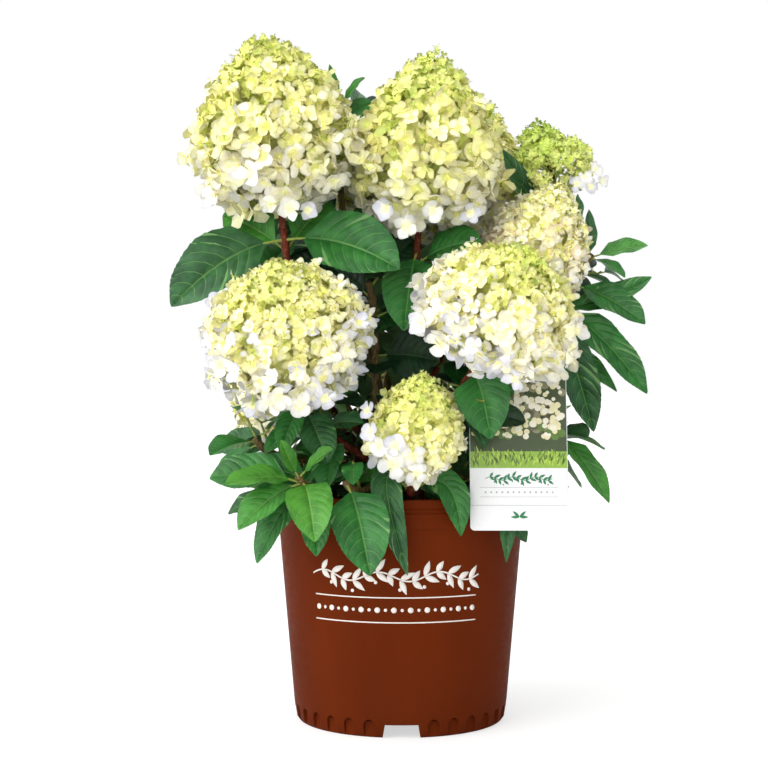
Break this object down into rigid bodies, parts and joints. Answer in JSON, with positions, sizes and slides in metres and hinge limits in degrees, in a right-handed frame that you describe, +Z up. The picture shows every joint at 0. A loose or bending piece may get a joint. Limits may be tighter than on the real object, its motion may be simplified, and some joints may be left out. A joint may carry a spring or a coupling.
{
  "type": "potted panicle hydrangea",
  "caption": "White panicle hydrangea shrub in full flower, with cone-shaped flower heads on leafy canes, in a round brown nursery pot with a plain label card on its rim.",
  "frame": {"origin": "centre of the pot's flat underside, on the surface that it stands on", "axes": "+Z up the plant, -Y towards its front, +X to the right of someone who faces that front"},
  "size_m": [0.447, 0.4507, 0.6475],
  "materials": {
    "pot_plastic": "satin moulded plastic, reddish brown",
    "potting_mix": "loose dark bark mix",
    "label_card": "smooth white plastic card with a plain printed panel",
    "bark": "young reddish-brown bark",
    "leaf": "dark green leaf with paler veins",
    "young_leaf": "bright green young leaf",
    "flower": "matt white petals, cream to lime towards the tip of each head",
    "green_flower": "lime-green unopened flowers"
  },
  "bodies": {
    "root": {"pot": "pot_plastic", "soil": "potting_mix", "label": "label_card", "trunk": "bark", "bough_upper_left": "bark", "bough_upper_centre": "bark", "bough_middle_right": "bark", "bough_middle_left": "bark", "bough_lower_centre": "bark", "bough_right": "bark", "bough_upper_right": "bark", "bough_upper_back_right": "bark", "bough_upper_back_left": "bark", "bough_back_left": "bark", "bough_back": "bark", "bough_back_right": "bark", "bough_lower_back": "bark", "bough_lower_left": "bark", "leaves_upper_left": "leaf", "leaves_upper_centre": "leaf", "leaves_middle_right": "leaf", "leaves_middle_left": "leaf", "leaves_lower_centre": "leaf", "leaves_right": "leaf", "leaves_upper_right": "leaf", "leaves_upper_back_right": "leaf", "leaves_upper_back_left": "leaf", "leaves_back_left": "leaf", "leaves_back": "leaf", "leaves_back_right": "leaf", "leaves_lower_back": "leaf", "leaves_lower_left": "leaf", "leafy_front_left": "young_leaf", "leafy_front": "leaf", "leafy_front_right": "leaf", "leafy_right_low": "leaf", "leafy_right_high": "leaf", "leafy_left": "leaf", "leafy_back_left_low": "leaf", "leafy_back_right_low": "leaf", "leafy_top": "young_leaf", "leafy_middle": "leaf", "leafy_middle_back": "leaf", "leafy_left_high": "leaf", "bloom_upper_left": "flower", "bloom_upper_centre": "flower", "bloom_middle_right": "flower", "bloom_middle_left": "flower", "bloom_lower_centre": "flower", "bloom_right": "flower", "bloom_upper_right": "green_flower", "bloom_upper_back_right": "flower", "bloom_upper_back_left": "flower", "bloom_back_left": "flower", "bloom_back": "flower", "bloom_back_right": "flower", "bloom_lower_back": "flower", "bloom_lower_left": "flower"}
  },
  "joints": []
}
